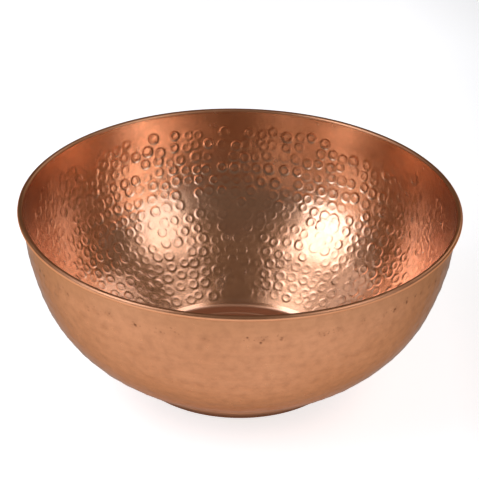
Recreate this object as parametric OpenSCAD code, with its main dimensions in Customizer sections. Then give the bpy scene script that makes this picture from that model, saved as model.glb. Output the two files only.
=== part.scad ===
// Hammered copper mixing bowl, in millimetres, +Z up.
// The origin is on the table, under the middle of the foot.
// The bowl is one raised sheet with its edge rolled over a wire, standing on a brazed foot hoop.

/* [Mouth] */
// Outside diameter of the rolled rim
rim_d = 300; // [290:1:310]
// Height from the table to the top of the rolled rim
bowl_h = 129; // [124:1:134]
// Diameter of the stiffening wire inside the rolled rim
wire_d = 1.8; // [1.4:0.1:2.2]
// Angle that the sheet's edge wraps round the wire, in degrees
roll_sweep = 280; // [200:5:285]
// Height of the plain conical band under the rim
band_h = 15; // [12:1:18]
// Lean of the plain band from vertical, in degrees
band_lean = 7; // [5:0.5:9]

/* [Wall] */
// Thickness of the copper sheet
sheet_t = 1; // [0.8:0.1:1.2]
// Outside radius of the wall's upper curve
upper_r = 172; // [164:1:180]
// Lean of the wall where the upper curve ends, in degrees
mid_lean = 20.5; // [18:0.5:23]
// Outside radius of the wall's lower curve
lower_r = 100; // [94:1:106]
// Lean of the straight cone above the base, in degrees
cone_lean = 51.5; // [50:0.5:53]

/* [Well] */
// Outside radius of the bend where the cone turns down into the well
bend_r = 0.5; // [0.3:0.1:1.5]
// Lean of the well's steep wall from vertical, in degrees
well_lean = 38; // [32:1:44]
// Length of the well's steep wall, down its slope
well_wall = 2.2; // [1:0.1:3]
// Outside radius of the corner between the well's wall and the flat base
corner_r = 4; // [3:0.5:6]

/* [Foot] */
// Height of the base's underside above the table
foot_h = 4.2; // [3.6:0.1:5]
// Thickness of the foot hoop
foot_t = 1.8; // [1.5:0.1:2.4]
// Distance from the edge of the flat base in to the hoop
foot_inset = 5.9; // [3:0.1:8]
// Radius of the rounded lower edges of the hoop
foot_edge_r = 0.6; // [0.3:0.1:0.7]
// Leg of the braze fillets on both sides of the hoop
braze_leg = 1.5; // [1:0.1:1.8]
// Height that the base is pressed up over the hoop, as its seat
seat_rise = 0.5; // [0.3:0.1:0.8]

/* [Hidden] */
$fn = 180;

copper = [0.78, 0.50, 0.36];
dark_copper = [0.62, 0.38, 0.26];
braze_alloy = [0.80, 0.66, 0.42];

// Steps in one curve of an outline, and in the roll
CURVE_STEPS = 12;
ROLL_STEPS = 36;
// Gap between the wire and the sheet rolled over it
roll_gap = 0.03;
// Width of braze on each side of the hoop's top, and over it
braze_gap = 0.3;
braze_film = 0.1;

// The roll, about its own centre
roll_in_r = wire_d / 2 + roll_gap;
roll_out_r = roll_in_r + sheet_t;
roll_at = [rim_d / 2 - roll_out_r, bowl_h - roll_out_r];

// Outward normal of a wall that leans from vertical, and the way down that wall
function normal(lean) = [cos(lean), -sin(lean)];
function down(lean) = [-sin(lean), -cos(lean)];
function reversed(list) = [for (i = [len(list) - 1:-1:0]) list[i]];

// Outer face of the sheet, from the rim down: band, upper curve, lower curve, top of the cone
band_top = roll_at - roll_in_r * normal(band_lean);
band_end = band_top + (band_h / cos(band_lean)) * down(band_lean);
upper_at = band_end - upper_r * normal(band_lean);
lower_at = upper_at + (upper_r - lower_r) * normal(mid_lean);
cone_top = lower_at + lower_r * normal(cone_lean);

// The well's corner, wall and bend, from the base up, as offsets from the edge of the flat base
corner_up = [0, foot_h + corner_r];
wall_low = corner_up + corner_r * normal(well_lean);
wall_high = wall_low - well_wall * down(well_lean);
bend_up = wall_high + bend_r * normal(well_lean);
cone_foot = bend_up - bend_r * normal(cone_lean);

// Radius of the flat base that brings the well's bend on to the cone
base_r = cone_top[0] - cone_foot[0] + (cone_foot[1] - cone_top[1]) * tan(cone_lean);
corner_at = corner_up + [base_r, 0];
bend_at = bend_up + [base_r, 0];

// The hoop stands on its lower edge, inside the edge of the flat base
foot_out_r = base_r - foot_inset;
foot_in_r = foot_out_r - foot_t;
foot_top = foot_h + seat_rise - braze_film;

// The seat pressed into the base: foot and top of its outer slope, then of its inner one
seat = [
    [foot_out_r + braze_leg, foot_h],
    [foot_out_r + braze_gap, foot_h + seat_rise],
    [foot_in_r - braze_gap, foot_h + seat_rise],
    [foot_in_r - braze_leg, foot_h]
];

// Points on a curve of the wall between two leans
function curve(centre, radius, from, to) = [
    for (i = [0:CURVE_STEPS])
        centre + radius * normal(from + (to - from) * i / CURVE_STEPS)
];

// Points on a circular arc between two polar angles
function arc(centre, radius, from, to, steps = CURVE_STEPS) = [
    for (i = [0:steps])
        let (angle = from + (to - from) * i / steps)
            centre + radius * [cos(angle), sin(angle)]
];

// One face of the sheet, at a depth inside the outer face, from the band down to the axis
function sheet_face(depth) = concat(
    curve(upper_at, upper_r - depth, band_lean, mid_lean),
    curve(lower_at, lower_r - depth, mid_lean, cone_lean),
    curve(bend_at, -bend_r - depth, cone_lean, well_lean),
    curve(corner_at, corner_r - depth, well_lean, 90),
    [for (p = seat) p + [0, depth]],
    [[0, foot_h + depth]]
);

// One face of the roll, from the wall over the wire and back under it
function roll_face(radius) =
    arc(roll_at, radius, 180 - band_lean, 180 - band_lean - roll_sweep, ROLL_STEPS);

// The raised sheet with its rolled edge
module bowl_shell() {
    color(copper)
        rotate_extrude()
            polygon(concat(
                reversed(sheet_face(0)),
                roll_face(roll_in_r),
                reversed(roll_face(roll_out_r)),
                sheet_face(sheet_t)
            ));
}

// The wire that the edge is rolled over, hidden by the roll
module rim_wire() {
    color(copper)
        rotate_extrude()
            translate(roll_at)
                circle(d = wire_d, $fn = 48);
}

// The hoop that the bowl stands on
module foot_ring() {
    out_at = [foot_out_r - foot_edge_r, foot_edge_r];
    in_at = [foot_in_r + foot_edge_r, foot_edge_r];
    color(dark_copper)
        rotate_extrude()
            polygon(concat(
                [[foot_in_r, foot_top], [foot_out_r, foot_top]],
                arc(out_at, foot_edge_r, 0, -90),
                arc(in_at, foot_edge_r, -90, -180)
            ));
}

// The braze between the hoop and its seat, with a hollow fillet on each side
module foot_braze() {
    out_at = [foot_out_r + braze_leg, foot_h - braze_leg];
    in_at = [foot_in_r - braze_leg, foot_h - braze_leg];
    color(braze_alloy)
        rotate_extrude()
            polygon(concat(
                [[foot_in_r, foot_top], [foot_out_r, foot_top]],
                arc(out_at, braze_leg, 180, 90),
                [seat[1], seat[2]],
                arc(in_at, braze_leg, 90, 0)
            ));
}

bowl_shell();
rim_wire();
foot_ring();
foot_braze();
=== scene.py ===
"""Hammered copper bowl: the punched sheet, its wired rim and its foot, on a plain pale floor.
Lengths are in metres where no comment says otherwise."""
import math
import random

import bmesh
import bpy
import numpy as np
from mathutils import Matrix, Vector, noise
from mathutils.geometry import delaunay_2d_cdt
from mathutils.kdtree import KDTree


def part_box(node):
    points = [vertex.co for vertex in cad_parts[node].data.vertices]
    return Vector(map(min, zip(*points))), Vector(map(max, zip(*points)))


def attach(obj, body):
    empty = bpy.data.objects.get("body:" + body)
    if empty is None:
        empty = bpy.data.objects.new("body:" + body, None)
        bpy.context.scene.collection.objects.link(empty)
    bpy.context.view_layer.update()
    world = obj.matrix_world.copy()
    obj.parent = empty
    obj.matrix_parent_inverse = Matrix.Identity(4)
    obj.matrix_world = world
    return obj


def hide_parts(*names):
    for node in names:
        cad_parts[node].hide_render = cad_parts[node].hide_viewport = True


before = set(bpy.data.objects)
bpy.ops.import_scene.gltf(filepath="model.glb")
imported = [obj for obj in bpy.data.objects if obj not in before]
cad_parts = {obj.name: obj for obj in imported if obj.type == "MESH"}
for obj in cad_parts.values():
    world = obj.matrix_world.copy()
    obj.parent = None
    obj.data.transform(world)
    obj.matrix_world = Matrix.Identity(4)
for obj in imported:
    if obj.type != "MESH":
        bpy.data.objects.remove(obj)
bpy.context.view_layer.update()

MM = 0.001

# What the frame gives
SHELL_LOW, SHELL_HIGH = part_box("bowl_shell")
WIRE_LOW, WIRE_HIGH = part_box("rim_wire")
RIM_R = SHELL_HIGH.x
TOP_Z = SHELL_HIGH.z
BASE_Z = SHELL_LOW.z
WIRE_R = (WIRE_HIGH.z - WIRE_LOW.z) / 2
FOOT_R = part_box("foot_ring")[1].x

# The sheet's section, as in the CAD model: lengths in metres, leans in degrees from vertical
SHEET_T = 1.0 * MM
ROLL_GAP = 0.03 * MM
ROLL_SWEEP = 280
BAND_H = 15 * MM
BAND_LEAN, MID_LEAN, CONE_LEAN = 7, 20.5, 51.5
UPPER_R, LOWER_R = 172 * MM, 100 * MM
BEND_R, WELL_LEAN, WELL_WALL, CORNER_R = 0.5 * MM, 38, 2.2 * MM, 4 * MM
FOOT_T = 1.8 * MM
BRAZE_LEG = 1.5 * MM
SEAT_RISE = 0.5 * MM
SEAT_SLOPE = BRAZE_LEG * 0.8
# Radius of the section's last ring, which a fan closes
CENTRE_R = 2 * MM

ROLL_IN_R = WIRE_R + ROLL_GAP
ROLL_OUT_R = ROLL_IN_R + SHEET_T
ROLL_AT = np.array([RIM_R - ROLL_OUT_R, TOP_Z - ROLL_OUT_R])

# Vertices in one ring round the bowl, the section's step, points round the roll, and rings under
# the roll outside and on the plain band inside, each with the ring that it starts from
AROUND = 480
STEP = 0.5 * MM
ROLL_POINTS = 33
TOP_RINGS, BAND_RINGS = 5, 6

# The mark of one blow: its groove, the lip raised outside it, the dome inside it, and the dish
# that all three lie in
GROOVE_R, GROOVE_W, GROOVE_DEPTH = 2.95 * MM, 0.82 * MM, 0.095 * MM
LIP_R, LIP_W, LIP_H = 4.7 * MM, 0.60 * MM, 0.03 * MM
DOME_H = 0.05 * MM
DISH_IN_R, DISH_OUT_R, DISH_DEPTH = 2.7 * MM, 4.7 * MM, 0.112 * MM
# How far a blow reaches, and how much of an older mark it wipes, out to the second radius
BLOW_REACH = 9 * MM
WIPE = 0.85
WIPE_IN_R, WIPE_OUT_R = GROOVE_R + 0.5 * MM, GROOVE_R + 1.5 * MM

# The rows of blows: their pitch down the wall and round it, their scatter as a share of it, the
# height and number of a row's waves, and the share of blows that are missed
PITCH_DOWN, PITCH_ROUND = 8.8 * MM, 9.3 * MM
SCATTER_DOWN, SCATTER_ROUND = 0.17, 0.19
ROW_WAVE, ROW_WAVES = 0.65 * MM, 3
MISSED_IN_TOP_ROW, MISSED = 0.30, 0.05
# The share of blows struck twice, how far off the second strike is in millimetres, and its depth
# as a share
STRUCK_TWICE = 0.05
SECOND_GAP = (3.2, 4.6)
SECOND_DEPTH = 0.8
BLOW_SEED, PIT_SEED = 29, 7

# How far above the band's lower edge the blows start, and how far short of the well they stop
BLOWS_START, BLOWS_STOP = 3.0 * MM, 1.8 * MM

# The bump that a blow leaves outside, and how worn it is
BUMP_H, BUMP_R, BUMP_WEAR = 0.34 * MM, 2.9 * MM, 0.12

# The lines of pits outside, behind the top row of blows, in millimetres: the part of the pitch
# that the row is looked for in, the share of its blows without pits, how many pits a line has,
# their step down and round, how far a line slants and a pit strays, and their sizes and depths
TOP_ROW = 0.6
NO_PITS = 0.10
PITS = (1, 2, 2, 3)
PIT_STEP_DOWN, PIT_STEP_ROUND, PIT_SLANT = 1.3, 1.1, 0.8
PIT_STRAY_DOWN, PIT_STRAY_ROUND = 0.4, 0.3
PIT_SIZE = (0.50, 1.0)
PIT_LEAST_DEPTH, PIT_MORE_DEPTH = 0.05, 0.28
# The specks round a line, the same way
SPECKS = (2, 4, 5, 6)
SPECK_STRAY_DOWN, SPECK_STRAY_ROUND = 2.5, 4.5
SPECK_SIZE, SPECK_DEPTH = (0.38, 0.55), (0.06, 0.14)
# How far a pit reaches, in sizes, and the depth of one that is all dark with painted shade
PIT_REACH = 4
DARK_PIT = 0.26 * MM

# Where the reliefs start: above the blows inside, and below the roll outside
START_INSIDE, START_OUTSIDE = 4 * MM, 3.2 * MM
# The relief meshes: spacing of their plain points, with the distance of their rows and their least
# gap as shares of it, and least gaps between the points of the marks and of the pits
INSIDE_SPACING, OUTSIDE_SPACING = 1.9 * MM, 2.4 * MM
ROW_SHARE, GAP_SHARE = 0.87, 0.72
MARK_GAP, PIT_GAP = 0.38 * MM, 0.3 * MM
# Length over which a relief fades at both ends, and the search cell of the flat map, in radians
END_FADE = 1.2 * MM
CELL = 0.0055

# The slow unevenness of the wall: its two sizes in millimetres, the lengths that the big one
# turns over in, how much finer the small one is, and the heights that it starts between
WOBBLE_BIG, WOBBLE_SMALL = 0.16, 0.025
WOBBLE_ROUND, WOBBLE_UP = 0.045, 0.040
WOBBLE_FINER = 2.6
STILL_BELOW, FREE_ABOVE = 14 * MM, 40 * MM

# The camera: degrees above the rim, roll, distance in rim radii, lens and sensor in millimetres,
# and how far below the middle of the rim it aims
VIEW_UP, VIEW_ROLL = 28.0, 1.2
VIEW_DISTANCE = 10.0
LENS, SENSOR = 166.6, 36
AIM_DROP = 0.02304

# Distance of the lights from the bowl, and of their cores as a share of it, and the floor's side
BOX_DISTANCE = 1.7
CORE_SHARE = 0.98
FLOOR_SIZE = 12

# The shell's three finishes, in the order of its material slots
OUTSIDE, INSIDE, RIM = 0, 1, 2


def normal(lean):
    """Outward normal of a wall that leans from vertical, as (radius, height)."""
    return np.array([math.cos(math.radians(lean)), -math.sin(math.radians(lean))])


def down(lean):
    """The way down that wall."""
    return np.array([-math.sin(math.radians(lean)), -math.cos(math.radians(lean))])


def smooth(x, low, high):
    """0 below low, 1 above high, and a smooth turn between."""
    t = np.clip((x - low) / (high - low), 0.0, 1.0)
    return t * t * (3 - 2 * t)


class Section:
    """The sheet's outer and inner face from the roll down to the axis, point by point."""

    def __init__(self):
        self.outer, self.normals, self.marks = [], [], {}
        top = ROLL_AT - ROLL_IN_R * normal(BAND_LEAN)
        end = top + BAND_H / math.cos(math.radians(BAND_LEAN)) * down(BAND_LEAN)
        upper_at = end - UPPER_R * normal(BAND_LEAN)
        lower_at = upper_at + (UPPER_R - LOWER_R) * normal(MID_LEAN)
        cone_top = lower_at + LOWER_R * normal(CONE_LEAN)
        corner_at = np.array([0.0, BASE_Z + CORNER_R])
        wall_low = corner_at + CORNER_R * normal(WELL_LEAN)
        wall_high = wall_low - WELL_WALL * down(WELL_LEAN)
        bend_at = wall_high + BEND_R * normal(WELL_LEAN)
        cone_end = bend_at - BEND_R * normal(CONE_LEAN)
        drop = (cone_end[1] - cone_top[1]) * math.tan(math.radians(CONE_LEAN))
        base_r = np.array([cone_top[0] - cone_end[0] + drop, 0.0])
        self.line(top, end, BAND_LEAN)
        self.marks["band_end"] = len(self.outer)
        self.arc(upper_at, UPPER_R, BAND_LEAN, MID_LEAN)
        self.arc(lower_at, LOWER_R, MID_LEAN, CONE_LEAN)
        self.line(cone_top, cone_end + base_r, CONE_LEAN)
        self.marks["cone_end"] = len(self.outer)
        self.arc(bend_at + base_r, -BEND_R, CONE_LEAN, WELL_LEAN)
        self.line(wall_high + base_r, wall_low + base_r, WELL_LEAN)
        self.arc(corner_at + base_r, CORNER_R, WELL_LEAN, 90)
        self.marks["flat"] = len(self.outer)
        self.line(base_r + [0.0, BASE_Z], np.array([CENTRE_R, BASE_Z]), 90)
        self.outer = np.array(self.outer)
        self.normals = np.array(self.normals)
        self.seat()
        self.inner = self.outer - SHEET_T * self.normals

    def line(self, start, end, lean):
        """Points from start up to, but not at, the end."""
        count = max(2, round(float(np.linalg.norm(end - start)) / STEP))
        for i in range(count):
            self.outer.append(start + (end - start) * i / count)
            self.normals.append(normal(lean))

    def arc(self, centre, radius, lean_from, lean_to):
        """Points on a curve of the wall between two leans, without the last."""
        count = max(8, round(abs(math.radians(lean_to - lean_from) * radius) / STEP))
        for i in range(count):
            lean = lean_from + (lean_to - lean_from) * i / count
            self.outer.append(centre + radius * normal(lean))
            self.normals.append(normal(lean))

    def seat(self):
        """The low step pressed up over the foot ring."""
        r = self.outer[:, 0]
        outside = smooth(FOOT_R + BRAZE_LEG - r, 0, SEAT_SLOPE)
        inside = smooth(r - (FOOT_R - FOOT_T - BRAZE_LEG), 0, SEAT_SLOPE)
        on_base = np.arange(len(r)) >= self.marks["flat"]
        self.outer[:, 1] += SEAT_RISE * outside * inside * on_base


SECTION = Section()


def length_along(points):
    """Length along a line of points, from its start to each of them."""
    steps = np.linalg.norm(np.diff(points, axis=0), axis=1)
    return np.concatenate([[0.0], np.cumsum(steps)])


class Face:
    """One face of the sheet, measured along its section from the roll down."""

    def __init__(self, points, outward):
        self.points = points
        self.outward = outward
        self.s = length_along(points)
        middle_r = (points[1:, 0] + points[:-1, 0]) / 2
        steps = np.diff(self.s)
        self.y = np.concatenate([[0.0], np.cumsum(steps / np.maximum(middle_r, MM))])

    def at(self, s):
        """Radius, height and the two parts of the normal, at lengths s."""
        r = np.interp(s, self.s, self.points[:, 0])
        z = np.interp(s, self.s, self.points[:, 1])
        nr = np.interp(s, self.s, self.outward[:, 0])
        nz = np.interp(s, self.s, self.outward[:, 1])
        return r, z, nr, nz

    def point(self, angle, s):
        """The place in space at an angle round the bowl and a length s."""
        r, z = (float(v) for v in self.at(s)[:2])
        return Vector((r * math.cos(angle), r * math.sin(angle), z))

    def y_of(self, s):
        """Height in the flat map of the face, where a mark keeps its shape."""
        return np.interp(s, self.s, self.y)

    def s_of(self, y):
        """Length along the section, from that height."""
        return np.interp(y, self.y, self.s)


INNER = Face(SECTION.inner, -SECTION.normals)
OUTER = Face(SECTION.outer, SECTION.normals)


class Blow:
    """One strike of the ring punch: its size, its depth, and how far and which way it leans."""

    def __init__(self, angle, s, rng):
        self.angle = angle
        self.s = s
        self.size = rng.uniform(0.90, 1.08)
        self.depth = rng.uniform(0.35, 1.15)
        self.tilt = rng.uniform(0.1, 0.9)
        self.tilt_to = rng.uniform(0, 2 * math.pi)


def lay_blows(s_from, s_to, rng):
    """Uneven rows of blows all round the wall, with misses and second strikes."""
    blows = []
    rows = round((s_to - s_from) / PITCH_DOWN)
    for row in range(rows):
        s_row = s_from + (row + 0.5) * (s_to - s_from) / rows
        r = float(INNER.at(s_row)[0])
        count = round(2 * math.pi * r / PITCH_ROUND)
        phase = rng.random()
        for k in range(count):
            angle = (k + phase + rng.uniform(-SCATTER_ROUND, SCATTER_ROUND)) / count * 2 * math.pi
            wave = ROW_WAVE * math.sin(ROW_WAVES * angle + row)
            s = s_row + wave + rng.uniform(-SCATTER_DOWN, SCATTER_DOWN) * PITCH_DOWN
            if rng.random() < (MISSED_IN_TOP_ROW if row == 0 else MISSED):
                continue
            blow = Blow(angle, s, rng)
            # Struck hardest in the top rows, and half as hard by the floor
            blow.depth *= 1.30 - 0.90 * row / rows + 0.25 * (row / rows) ** 2
            blows.append(blow)
            if rng.random() < STRUCK_TWICE:
                turn = rng.uniform(0, 2 * math.pi)
                gap = rng.uniform(*SECOND_GAP) * MM
                again = Blow(angle + gap * math.cos(turn) / r, s + gap * math.sin(turn), rng)
                again.depth *= SECOND_DEPTH
                blows.append(again)
    return blows


class Skin:
    """Vertices and faces of the sheet's closed surface, made ring by ring."""

    def __init__(self):
        self.co = []
        self.groove = []
        self.faces = []
        self.finishes = []
        self.finish = OUTSIDE

    def add(self, co, groove=0.0):
        """One vertex, and how deep in a groove it lies, from 0 to 1. Gives its number."""
        self.co.append(co)
        self.groove.append(groove)
        return len(self.co) - 1

    def face(self, *corners):
        """One face, in the finish set last."""
        self.faces.append(corners)
        self.finishes.append(self.finish)

    def ring(self, r, z):
        """A level ring of vertices."""
        out = []
        for i in range(AROUND):
            a = 2 * math.pi * i / AROUND
            out.append(self.add((r * math.cos(a), r * math.sin(a), z)))
        return out

    def bridge(self, a, b):
        """Faces between two rings."""
        for i in range(AROUND):
            j = (i + 1) % AROUND
            self.face(a[i], a[j], b[j], b[i])

    def fan(self, ring, z):
        """Faces from a ring to a point on the axis."""
        middle = self.add((0.0, 0.0, z))
        for i in range(AROUND):
            self.face(ring[i], ring[(i + 1) % AROUND], middle)

    def rings(self, points, last=None):
        """A strip of rings through the points; joins on to the ring called last."""
        for r, z in points:
            ring = self.ring(r, z)
            if last is not None:
                self.bridge(last, ring)
            last = ring
        return last


class Cloud:
    """Points of a relief in the face's flat map, kept a least distance apart."""

    def __init__(self, face, s_low, s_high):
        self.face = face
        self.low, self.high = s_low, s_high
        self.points = []
        self.cells = {}

    def near(self, x, y, gap):
        """Whether a point of the cloud is closer than the gap."""
        i, j = int(x / CELL), int(y / CELL)
        reach = int(gap / CELL) + 1
        for a in range(i - reach, i + reach + 1):
            for b in range(j - reach, j + reach + 1):
                for px, py in self.cells.get((a, b), ()):
                    if (px - x) ** 2 + (py - y) ** 2 < gap * gap:
                        return True
        return False

    def put(self, x, y):
        """Takes the point as it is."""
        self.points.append((x, y))
        self.cells.setdefault((int(x / CELL), int(y / CELL)), []).append((x, y))

    def offer(self, angle, s, gap):
        """Takes the point if it is inside the relief and clear of the others."""
        x = angle % (2 * math.pi)
        if not self.low + gap < s < self.high - gap:
            return
        r = float(self.face.at(s)[0])
        gap_x = gap / r
        if x < gap_x or x > 2 * math.pi - gap_x:
            return
        y = float(self.face.y_of(s))
        if not self.near(x, y, gap_x):
            self.put(x, y)


def relief(skin, face, s_low, s_high, ring_low, ring_high, samples, spacing, height):
    """Fills the face between two rings with a mesh: fine at the samples of the marks, coarse
    between them, and raised by the function height."""
    cloud = Cloud(face, s_low, s_high)
    # The two rings, then the seam, which is both sides of the flat map. An id is a vertex's
    # number, or a seam point's name, which its two copies share.
    ids = []
    for s, ring in ((s_low, ring_low), (s_high, ring_high)):
        y = float(face.y_of(s))
        for i in range(AROUND + 1):
            cloud.put(2 * math.pi * i / AROUND, y)
            ids.append(ring[i % AROUND])
    seam = round((s_high - s_low) / spacing)
    for k in range(1, seam):
        y = float(face.y_of(s_low + (s_high - s_low) * k / seam))
        shared = ("seam", k)
        cloud.put(0.0, y)
        ids.append(shared)
        cloud.put(2 * math.pi, y)
        ids.append(shared)
    for angle, s, gap in samples:
        cloud.offer(angle, s, gap)
    rows = round((s_high - s_low) / (spacing * ROW_SHARE))
    for row in range(1, rows):
        s = s_low + (s_high - s_low) * row / rows
        count = round(2 * math.pi * float(face.at(s)[0]) / spacing)
        for k in range(count):
            cloud.offer((k + 0.5 * (row % 2) + 0.25) / count * 2 * math.pi, s, spacing * GAP_SHARE)
    flat = np.array(cloud.points)
    found = delaunay_2d_cdt([Vector(p) for p in cloud.points], [], [], 0, 1e-9)
    triangles, origins = found[2], found[3]
    # Places of the new points, one for each seam name, and the height of the relief there
    free = np.arange(len(ids), len(flat))
    seams = {}
    for n, name in enumerate(ids):
        if isinstance(name, tuple):
            seams.setdefault(name, n)
    wanted = np.concatenate([free, np.array(sorted(seams.values()), int)])
    s = face.s_of(flat[wanted, 1])
    r, z, nr, nz = face.at(s)
    angle = flat[wanted, 0]
    base = np.stack([r * np.cos(angle), r * np.sin(angle), z], 1)
    out = np.stack([nr * np.cos(angle), nr * np.sin(angle), nz], 1)
    lift, groove = height(base, angle, s)
    fade = smooth(s, s_low, s_low + END_FADE) * smooth(s_high - s, 0, END_FADE)
    placed = base + out * (lift * fade)[:, None]
    at = {}
    for n, p, g in zip(wanted, placed, groove):
        at[int(n)] = skin.add(tuple(p), float(g))
    for n, name in enumerate(ids):
        at[n] = at[seams[name]] if isinstance(name, tuple) else name
    for tri in triangles:
        corner = [at[origins[v][0]] for v in tri]
        if len(set(corner)) == 3:
            skin.face(*corner)


def tree_of(points):
    """A search tree of the points."""
    tree = KDTree(len(points))
    for i, p in enumerate(points):
        tree.insert(p, i)
    tree.balance()
    return tree


def punched(blows):
    """Height of the punched inside: each blow wipes what is under it and leaves its ring."""

    def height(base, angle, s):
        tree = tree_of(base)
        lift = np.zeros(len(base))
        groove = np.zeros(len(base))
        for blow in blows:
            hits = tree.find_range(INNER.point(blow.angle, blow.s), BLOW_REACH)
            if not hits:
                continue
            index = np.array([h[1] for h in hits])
            d = np.array([h[2] for h in hits]) / blow.size
            across = (angle[index] - blow.angle + math.pi) % (2 * math.pi) - math.pi
            turn = np.arctan2(s[index] - blow.s, across * float(INNER.at(blow.s)[0]))
            lean = 1 + blow.tilt * np.cos(turn - blow.tilt_to)
            ring = np.exp(-(((d - GROOVE_R) / GROOVE_W) ** 2)) * blow.depth * lean
            lip = np.exp(-(((d - LIP_R) / LIP_W) ** 2)) * blow.depth
            dome = np.clip(1 - (d / GROOVE_R) ** 2, 0, 1)
            dish = (1 - smooth(d, DISH_IN_R, DISH_OUT_R)) * blow.depth
            wiped = 1 - smooth(d, WIPE_IN_R, WIPE_OUT_R)
            mark = LIP_H * lip + DOME_H * dome - GROOVE_DEPTH * ring - DISH_DEPTH * dish
            lift[index] = lift[index] * (1 - WIPE * wiped) + mark
            groove[index] = np.maximum(groove[index] * (1 - wiped), ring)
        return lift, np.clip(groove, 0, 1)

    return height


def behind(s):
    """Length along the outer face, behind a length s along the inner one."""
    return float(np.interp(s, INNER.s, OUTER.s))


def bumped(blows, pits):
    """Height of the outside: the blows show through as low bumps, with a row of small pits."""

    def height(base, angle, s):
        tree = tree_of(base)
        lift = np.zeros(len(base))
        groove = np.zeros(len(base))
        for blow in blows:
            centre = OUTER.point(blow.angle, behind(blow.s))
            for _, i, d in tree.find_range(centre, BLOW_REACH):
                bump = blow.depth * math.exp(-((d / BUMP_R) ** 2))
                lift[i] += BUMP_H * bump
                groove[i] = max(groove[i], BUMP_WEAR * bump)
        for pit_angle, pit_s, size, depth in pits:
            for _, i, d in tree.find_range(OUTER.point(pit_angle, pit_s), PIT_REACH * size):
                pit = math.exp(-((d / size) ** 2))
                lift[i] -= depth * pit
                # The pit's painted shade: the deeper, the darker.
                groove[i] = max(groove[i], min(1.0, depth / DARK_PIT) * pit)
        return lift, groove

    return height


# Rings of mesh points round a blow, in millimetres, and round a pit, in sizes of the pit, each
# with its number of points
BLOW_RINGS = (
    (0.0, 1), (1.1, 6), (1.9, 10), (2.45, 14), (2.95, 17), (3.45, 18), (4.0, 18), (4.6, 18), (5.2, 14)
)
PIT_RINGS = ((0, 1), (0.6, 6), (1.2, 8), (2.0, 10))


def ring_samples(blows):
    """Places on the inside that the mesh has a point at, with the least gap between them."""
    for blow in blows:
        r = float(INNER.at(blow.s)[0])
        for radius, count in BLOW_RINGS:
            for k in range(count):
                a = blow.tilt_to + 2 * math.pi * (k + 0.5 * (count % 2)) / count
                d = radius * MM * blow.size
                yield blow.angle + d * math.cos(a) / r, blow.s + d * math.sin(a), MARK_GAP


def pit_row(blows, rng):
    """Small pits outside, behind most blows of the top row: a short slanting line of one to
    three, and fainter specks round it. Each has its angle, length, size and depth."""
    top = min(blow.s for blow in blows) + TOP_ROW * PITCH_DOWN
    pits = []
    for blow in blows:
        if blow.s > top or rng.random() < NO_PITS:
            continue
        s = behind(blow.s)
        slant = rng.uniform(-PIT_SLANT, PIT_SLANT)
        for k in range(rng.choice(PITS)):
            stray = rng.uniform(-PIT_STRAY_ROUND, PIT_STRAY_ROUND)
            a = blow.angle + (PIT_STEP_ROUND * k * slant + stray) * MM / RIM_R
            down_by = PIT_STEP_DOWN * k * MM + rng.uniform(-PIT_STRAY_DOWN, PIT_STRAY_DOWN) * MM
            size = rng.uniform(*PIT_SIZE) * MM
            depth = (PIT_LEAST_DEPTH + PIT_MORE_DEPTH * rng.random() ** 2) * MM
            pits.append((a, s + down_by, size, depth))
        for _ in range(rng.choice(SPECKS)):
            a = blow.angle + rng.uniform(-SPECK_STRAY_ROUND, SPECK_STRAY_ROUND) * MM / RIM_R
            size = rng.uniform(*SPECK_SIZE) * MM
            down_by = rng.uniform(-SPECK_STRAY_DOWN, SPECK_STRAY_DOWN) * MM
            pits.append((a, s + down_by, size, rng.uniform(*SPECK_DEPTH) * MM))
    return pits


def pit_samples(pits):
    """Places on the outside that the mesh has a point at, with the least gap between them."""
    for angle, s, size, _ in pits:
        r = float(OUTER.at(s)[0])
        for radius, count in PIT_RINGS:
            for k in range(count):
                a = 2 * math.pi * k / count
                d = radius * size
                yield angle + d * math.cos(a) / r, s + d * math.sin(a), PIT_GAP


def wobble(co):
    """Slow unevenness of a hand-raised sheet, nothing at the foot."""
    for p in co:
        out = math.hypot(p[0], p[1])
        if out < MM:
            continue
        hold = smooth(p[2], STILL_BELOW, FREE_ABOVE)
        spot = Vector((p[0] / WOBBLE_ROUND, p[1] / WOBBLE_ROUND, p[2] / WOBBLE_UP))
        big = WOBBLE_BIG * noise.noise(spot)
        small = WOBBLE_SMALL * noise.noise(spot * WOBBLE_FINER)
        move = (big + small) * MM * float(hold)
        p[0] += p[0] / out * move
        p[1] += p[1] / out * move


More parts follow.
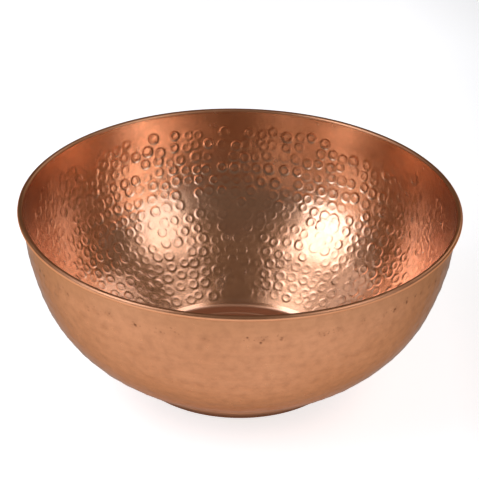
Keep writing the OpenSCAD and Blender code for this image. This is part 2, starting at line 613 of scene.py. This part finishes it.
def make_shell():
    """The whole closed surface of the sheet, from under its base up the outside, round the roll
    and down the inside."""
    band_end = SECTION.marks["band_end"]
    cone_end = SECTION.marks["cone_end"]
    punch_top = INNER.s[band_end] - BLOWS_START
    blows = lay_blows(punch_top, INNER.s[cone_end] - BLOWS_STOP, random.Random(BLOW_SEED))
    pits = pit_row(blows, random.Random(PIT_SEED))
    skin = Skin()
    # Under the base, from the axis out to the cone; its first ring has the first vertices
    last = skin.rings(SECTION.outer[cone_end:][::-1])
    skin.fan(range(AROUND), BASE_Z)
    # The outside of the wall, up to under the roll
    s_low, s_high = START_OUTSIDE, float(OUTER.s[cone_end])
    top_ring = skin.ring(*(float(v) for v in OUTER.at(s_low)[:2]))
    relief(
        skin, OUTER, s_low, s_high, top_ring, last,
        pit_samples(pits), OUTSIDE_SPACING, bumped(blows, pits),
    )
    last = skin.rings([OUTER.at(s)[:2] for s in np.linspace(s_low, 0, TOP_RINGS)[1:]], top_ring)
    # The roll: round the wire, the cut edge, and back over the top
    skin.finish = RIM
    sweep = np.radians(np.linspace(180 - BAND_LEAN, 180 - BAND_LEAN - ROLL_SWEEP, ROLL_POINTS))
    around = np.stack([np.cos(sweep), np.sin(sweep)], 1)
    last = skin.rings(ROLL_AT + ROLL_IN_R * around[1::2], last)
    last = skin.rings(ROLL_AT + ROLL_OUT_R * around[::-1], last)
    # The plain band inside, the punched wall, the smooth well and the floor
    skin.finish = INSIDE
    s_low, s_high = punch_top - START_INSIDE, float(INNER.s[cone_end])
    last = skin.rings([INNER.at(s)[:2] for s in np.linspace(0, s_low, BAND_RINGS)[1:]], last)
    floor = SECTION.inner[cone_end:]
    well = skin.ring(*floor[0])
    relief(
        skin, INNER, s_low, s_high, last, well,
        ring_samples(blows), INSIDE_SPACING, punched(blows),
    )
    last = skin.rings(floor[1:], well)
    skin.fan(last, BASE_Z + SHEET_T)
    return skin


def make_object(name, co, faces, materials):
    """A smooth-shaded object with its normals outward."""
    mesh = bpy.data.meshes.new(name)
    mesh.from_pydata(co, [], faces)
    bm = bmesh.new()
    bm.from_mesh(mesh)
    bmesh.ops.recalc_face_normals(bm, faces=bm.faces)
    bm.to_mesh(mesh)
    bm.free()
    mesh.polygons.foreach_set("use_smooth", [True] * len(mesh.polygons))
    for material in materials:
        mesh.materials.append(material)
    piece = bpy.data.objects.new(name, mesh)
    bpy.context.scene.collection.objects.link(piece)
    return piece


def add_attribute(piece, name, values):
    """Gives each vertex a number that a material can read."""
    attribute = piece.data.attributes.new(name, "FLOAT", "POINT")
    attribute.data.foreach_set("value", np.array(values, np.float32))


class Nodes:
    """A short way to write a material's node tree."""

    def __init__(self, name):
        self.material = bpy.data.materials.new(name)
        self.material.use_nodes = True
        self.tree = self.material.node_tree
        self.shader = self.tree.nodes["Principled BSDF"]

    def add(self, kind, inputs=(), **settings):
        """One node, with its inputs linked or set."""
        node = self.tree.nodes.new(kind)
        for key, value in settings.items():
            setattr(node, key, value)
        for key, value in dict(inputs).items():
            if isinstance(value, bpy.types.NodeSocket):
                self.tree.links.new(value, node.inputs[key])
            else:
                node.inputs[key].default_value = value
        return node

    def place(self):
        """Where a point is on the object, in metres."""
        return self.add("ShaderNodeTexCoord").outputs["Object"]

    def noise(self, where, scale, detail=4.0, rough=0.55):
        """Fractal noise, from 0 to 1."""
        inputs = {"Vector": where, "Scale": scale, "Detail": detail, "Roughness": rough}
        return self.add("ShaderNodeTexNoise", inputs).outputs["Fac"]

    def two_tone(self, fac, low, high):
        """A colour that goes from low to high over the middle of fac."""
        node = self.add("ShaderNodeValToRGB", {"Fac": fac})
        for element, at, colour in zip(node.color_ramp.elements, (0.30, 0.70), (low, high)):
            element.position = at
            element.color = (*colour, 1.0)
        return node.outputs["Color"]

    def spread(self, fac, low, high, to_low, to_high):
        """to_low up to the value low, to_high from the value high, and evenly between."""
        span = {"Value": fac, "From Min": low, "From Max": high, "To Min": to_low, "To Max": to_high}
        return self.add("ShaderNodeMapRange", span).outputs["Result"]

    def mix(self, fac, a, b):
        """Colour a, turned into colour b by fac."""
        node = self.add("ShaderNodeMix", data_type="RGBA")
        for key, value in ((0, fac), (6, a), (7, b)):
            if isinstance(value, bpy.types.NodeSocket):
                self.tree.links.new(value, node.inputs[key])
            else:
                node.inputs[key].default_value = value
        return node.outputs[2]

    def times(self, a, b):
        """a times b."""
        return self.add("ShaderNodeMath", {0: a, 1: b}, operation="MULTIPLY").outputs[0]

    def grain(self, height, strength, distance):
        """A fine bump on the surface."""
        node = self.add("ShaderNodeBump", {"Height": height, "Strength": strength, "Distance": distance})
        self.set("Normal", node.outputs["Normal"])

    def set(self, socket, value):
        """Links or sets an input of the shader."""
        if isinstance(value, bpy.types.NodeSocket):
            self.tree.links.new(value, self.shader.inputs[socket])
        else:
            self.shader.inputs[socket].default_value = value


def polished_copper():
    """The bright inside under its clear coat: lighter up the wall as a painted brightening of the
    reflections there, spotted, brown down in the grooves as painted shade, and duller on the floor."""
    m = Nodes("polished_copper")
    where = m.place()
    height = m.add("ShaderNodeSeparateXYZ", {"Vector": where}).outputs["Z"]
    groove = m.add("ShaderNodeAttribute", attribute_name="groove").outputs["Fac"]
    clouds = m.noise(where, 14.0, 5.0)
    spots = m.noise(where, 95.0, 4.0, 0.6)
    fine = m.noise(where, 700.0, 4.0, 0.6)
    # Lighter up the wall: a painted brightening that stands for the brighter reflections on the upper
    # wall, not a change in the copper.
    low = m.two_tone(clouds, (0.78, 0.345, 0.165), (0.85, 0.400, 0.205))
    high = m.two_tone(clouds, (0.88, 0.49, 0.285), (0.93, 0.55, 0.345))
    toned = m.mix(m.spread(height, 0.045, 0.085, 0.0, 1.0), low, high)
    toned = m.mix(m.spread(spots, 0.45, 0.75, 0.0, 0.30), toned, (0.70, 0.34, 0.18, 1.0))
    # Brown down in the grooves: painted shade that outlines each ring.
    toned = m.mix(m.times(groove, 0.30), toned, (0.40, 0.19, 0.11, 1.0))
    on_wall = m.spread(height, 0.0057, 0.0067, 0.0, 1.0)
    m.set("Base Color", m.mix(on_wall, (0.90, 0.45, 0.26, 1.0), toned))
    m.set("Metallic", 1.0)
    hammered = m.spread(spots, 0.3, 0.7, 0.19, 0.28)
    rough = m.add("ShaderNodeMix", {0: on_wall, 2: 0.46, 3: hammered}, data_type="FLOAT")
    m.set("Roughness", rough.outputs[0])
    m.set("Coat Weight", 1.0)
    m.set("Coat Roughness", 0.18)
    m.set("Coat IOR", 1.7)
    m.grain(fine, 0.20, 0.0004)
    return m.material


def satin_copper():
    """The outside: a satin mottled by handling, with turned lines low down, a matt brown painted
    shade right above the foot for the shadow under the bowl that it mirrors there, a browner band
    under the rim, pits darkened as painted shade, and a painted darkening at the silhouette."""
    m = Nodes("satin_copper")
    where = m.place()
    split = m.add("ShaderNodeSeparateXYZ", {"Vector": where})
    height = split.outputs["Z"]
    level = m.add("ShaderNodeCombineXYZ", {"X": split.outputs["X"], "Y": split.outputs["Y"]})
    radius = m.add("ShaderNodeVectorMath", {0: level.outputs[0]}, operation="LENGTH").outputs["Value"]
    groove = m.add("ShaderNodeAttribute", attribute_name="groove").outputs["Fac"]
    clouds = m.noise(where, 18.0, 5.0)
    spots = m.noise(where, 170.0, 4.0, 0.6)
    fine = m.noise(where, 900.0, 3.0, 0.6)
    across = m.add("ShaderNodeCombineXYZ", {"X": radius, "Y": height})
    turned = m.noise(across.outputs[0], 420.0, 2.0, 0.5)
    toned = m.two_tone(clouds, (0.52, 0.231, 0.113), (0.58, 0.268, 0.138))
    toned = m.mix(m.spread(spots, 0.42, 0.70, 0.0, 0.34), toned, (0.37, 0.165, 0.085, 1.0))
    low_down = m.spread(height, 0.012, 0.040, 0.45, 0.06)
    lines = m.times(low_down, m.spread(turned, 0.40, 0.62, 0.0, 1.0))
    toned = m.mix(lines, toned, (0.30, 0.13, 0.065, 1.0))
    # Painted shade right above the foot: dark brown, and matt through the metallic below, standing for
    # the shadow under the bowl that the cone mirrors.
    painted_foot_shade = m.spread(height, 0.0110, 0.0240, 0.95, 0.0)
    toned = m.mix(painted_foot_shade, toned, (0.16, 0.060, 0.028, 1.0))
    toned = m.mix(m.spread(height, 0.108, 0.126, 0.0, 0.35), toned, (0.36, 0.18, 0.085, 1.0))
    # Darker at the silhouette: a painted reflection of the dark surroundings that the grazing wall
    # mirrors.
    edge = m.add("ShaderNodeLayerWeight", {"Blend": 0.5}).outputs["Facing"]
    toned = m.mix(m.spread(edge, 0.86, 0.97, 0.0, 0.75), toned, (0.12, 0.065, 0.040, 1.0))
    # Dark in the pits, darker the deeper, as painted shade; and a little dark over the worn bumps.
    toned = m.mix(m.times(groove, 0.95), toned, (0.085, 0.026, 0.012, 1.0))
    m.set("Base Color", toned)
    # Less metallic right above the foot: part of the painted shade there.
    m.set("Metallic", m.spread(height, 0.0200, 0.0340, 0.10, 1.0))
    m.set("Specular IOR Level", 0.0)
    # Tint of the shallowest reflections: grey up the wall, warm on the cone, brown in the painted shade
    # above the foot
    up_wall = m.spread(height, 0.026, 0.045, 0.0, 1.0)
    tint = m.mix(up_wall, (0.66, 0.40, 0.29, 1.0), (0.47, 0.44, 0.41, 1.0))
    m.set("Specular Tint", m.mix(painted_foot_shade, tint, (0.20, 0.085, 0.048, 1.0)))
    m.set("Roughness", m.spread(spots, 0.3, 0.7, 0.27, 0.38))
    m.grain(fine, 0.12, 0.0004)
    return m.material


def clouded_metal(name, clouds, grain, dark, light, rough, tint=None):
    """A plain metal in two tones. clouds is the scale and detail of their noise, grain is the
    noise of the fine bump with its strength and distance, and rough is a range."""
    m = Nodes(name)
    where = m.place()
    tone = m.noise(where, *clouds)
    scale, detail, strength, distance = grain
    fine = m.noise(where, scale, detail, 0.6)
    m.set("Base Color", m.two_tone(tone, dark, light))
    m.set("Metallic", 1.0)
    if tint:
        m.set("Specular Tint", tint)
    m.set("Roughness", m.spread(tone, 0.3, 0.7, *rough))
    m.grain(fine, strength, distance)
    return m.material


def foot_copper():
    """The foot ring, dark brown: painted shade for the shadow that it stands in under the bowl."""
    dark, light = (0.10, 0.040, 0.020), (0.17, 0.070, 0.036)
    grain = (1200.0, 3.0, 0.15, 0.0003)
    tint = (0.40, 0.34, 0.30, 1.0)
    return clouded_metal("foot_copper", (40.0, 5.0), grain, dark, light, (0.30, 0.42), tint)


def braze_metal():
    """The brazed joint: yellower than the copper, dull and a little grained."""
    dark, light = (0.36, 0.20, 0.080), (0.50, 0.31, 0.130)
    grain = (700.0, 4.0, 0.35, 0.0004)
    tint = (0.60, 0.50, 0.35, 1.0)
    return clouded_metal("braze_metal", (60.0, 5.0), grain, dark, light, (0.36, 0.50), tint)


def wire_copper():
    """The wire inside the rolled rim, seen only at the roll's gap."""
    dark, light = (0.26, 0.11, 0.060), (0.38, 0.17, 0.090)
    grain = (1500.0, 3.0, 0.12, 0.0002)
    return clouded_metal("wire_copper", (50.0, 4.0), grain, dark, light, (0.32, 0.44))


def rim_copper():
    """The rolled rim, rubbed to a soft shine."""
    dark, light = (0.60, 0.270, 0.135), (0.70, 0.335, 0.180)
    grain = (1200.0, 3.0, 0.10, 0.0003)
    tint = (0.78, 0.48, 0.32, 1.0)
    return clouded_metal("rim_copper", (40.0, 5.0), grain, dark, light, (0.32, 0.42), tint)


def floor_material():
    """A pale floor that glows a little, so that the outside of the bowl has a bright table to
    mirror. Its glow is a painted pool of light, brightest near the bowl and brighter on the left,
    and dimmer on the right as a painted shadow of the bowl."""
    m = Nodes("pale_floor")
    where = m.place()
    away = m.add("ShaderNodeVectorMath", {0: where}, operation="LENGTH").outputs["Value"]
    m.set("Base Color", (0.80, 0.80, 0.80, 1.0))
    m.set("Roughness", 0.9)
    sideways = m.add("ShaderNodeSeparateXYZ", {"Vector": where}).outputs["X"]
    # Painted light in the glow: raised on the left, and dimmed on the right as a painted shadow of the
    # bowl.
    left = m.spread(sideways, -0.20, -0.05, 1.16, 1.0)
    right = m.spread(sideways, 0.15, 0.28, 1.0, 0.70)
    near = m.spread(away, 0.60, 1.5, 0.72, 0.15)
    m.set("Emission Color", (1.0, 1.0, 1.0, 1.0))
    m.set("Emission Strength", m.times(near, m.times(left, right)))
    return m.material


def make_floor():
    """The floor under the bowl."""
    bpy.ops.mesh.primitive_plane_add(size=FLOOR_SIZE, location=(0, 0, 0))
    floor = bpy.context.object
    floor.name = "studio_floor"
    floor.data.materials.append(floor_material())


def softbox(name, azimuth, elevation, lean, width, height, radiance, core=False):
    """An area light aimed at the bowl. Azimuth 0 is towards the camera, and grows to the right.
    The box leans over sideways by the angle lean, its top to the right. A core is the cooler
    middle of a box, just in front of it, and adds to its light."""
    a, e, tip = math.radians(azimuth), math.radians(elevation), math.radians(lean)
    way = Vector((math.sin(a) * math.cos(e), -math.cos(a) * math.cos(e), math.sin(e)))
    side = Vector((math.cos(a), math.sin(a), 0))
    up = way.cross(side)
    light = bpy.data.lights.new(name, "AREA")
    light.shape = "RECTANGLE"
    light.size, light.size_y = width, height
    light.energy = radiance * math.pi * width * height
    light.color = (0.85, 1.0, 1.30) if core else (0.97, 1.0, 1.06)
    lamp = bpy.data.objects.new(name, light)
    along = up * math.cos(tip) + side * math.sin(tip)
    across = side * math.cos(tip) - up * math.sin(tip)
    turn = Matrix((across, along, way)).transposed()
    away = BOX_DISTANCE * (CORE_SHARE if core else 1.0)
    lamp.matrix_world = Matrix.Translation(way * away) @ turn.to_4x4()
    bpy.context.scene.collection.objects.link(lamp)


def make_studio():
    """Two tall softboxes in front, two small ones behind, and a dim warm room."""
    softbox("softbox_right", 58.5, 41, 20, 0.80, 1.62, 1.2)
    softbox("core_right", 58.5, 38.5, 20, 0.54, 1.00, 0.85, True)
    softbox("softbox_left", -66, 42, -18, 0.92, 1.66, 1.3)
    softbox("core_left", -66, 41, -18, 0.62, 1.10, 2.2, True)
    softbox("softbox_behind_right", 133, 36, 0, 0.70, 0.70, 1.3)
    softbox("softbox_behind_left", -114, 43, 0, 0.50, 0.50, 0.7)
    world = bpy.data.worlds.new("studio")
    bpy.context.scene.world = world
    world.use_nodes = True
    sky = world.node_tree.nodes["Background"]
    sky.inputs["Color"].default_value = (1.0, 0.86, 0.74, 1.0)
    sky.inputs["Strength"].default_value = 0.135
    bpy.context.scene.view_settings.view_transform = "Standard"


def make_camera():
    """The photograph's view: a long lens, aimed from above at a point under the rim's middle."""
    elevation, distance, roll = math.radians(VIEW_UP), VIEW_DISTANCE * RIM_R, math.radians(VIEW_ROLL)
    back = Vector((0, -math.cos(elevation), math.sin(elevation)))
    rim = Vector((0, 0, ROLL_AT[1]))
    camera = bpy.data.objects.new("camera", bpy.data.cameras.new("camera"))
    camera.location = rim + back * distance
    camera.data.lens = LENS
    camera.data.sensor_width = SENSOR
    look = rim - Vector((0, math.sin(elevation), math.cos(elevation))) * AIM_DROP
    turn = (look - camera.location).to_track_quat("-Z", "Y")
    camera.rotation_euler = turn.to_euler()
    camera.rotation_euler.rotate_axis("Z", roll)
    bpy.context.scene.collection.objects.link(camera)
    bpy.context.scene.camera = camera


make_camera()
make_floor()
make_studio()

inside, outside, rim = polished_copper(), satin_copper(), rim_copper()
skin = make_shell()
co = [list(p) for p in skin.co]
wobble(co)
shell = make_object("punched_shell", co, skin.faces, (outside, inside, rim))
shell.data.polygons.foreach_set("material_index", skin.finishes)
add_attribute(shell, "groove", skin.groove)
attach(shell, "root")
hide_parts("bowl_shell")

for node, make in (("rim_wire", wire_copper), ("foot_ring", foot_copper), ("foot_braze", braze_metal)):
    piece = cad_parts[node]
    piece.data.materials.clear()
    piece.data.materials.append(make())
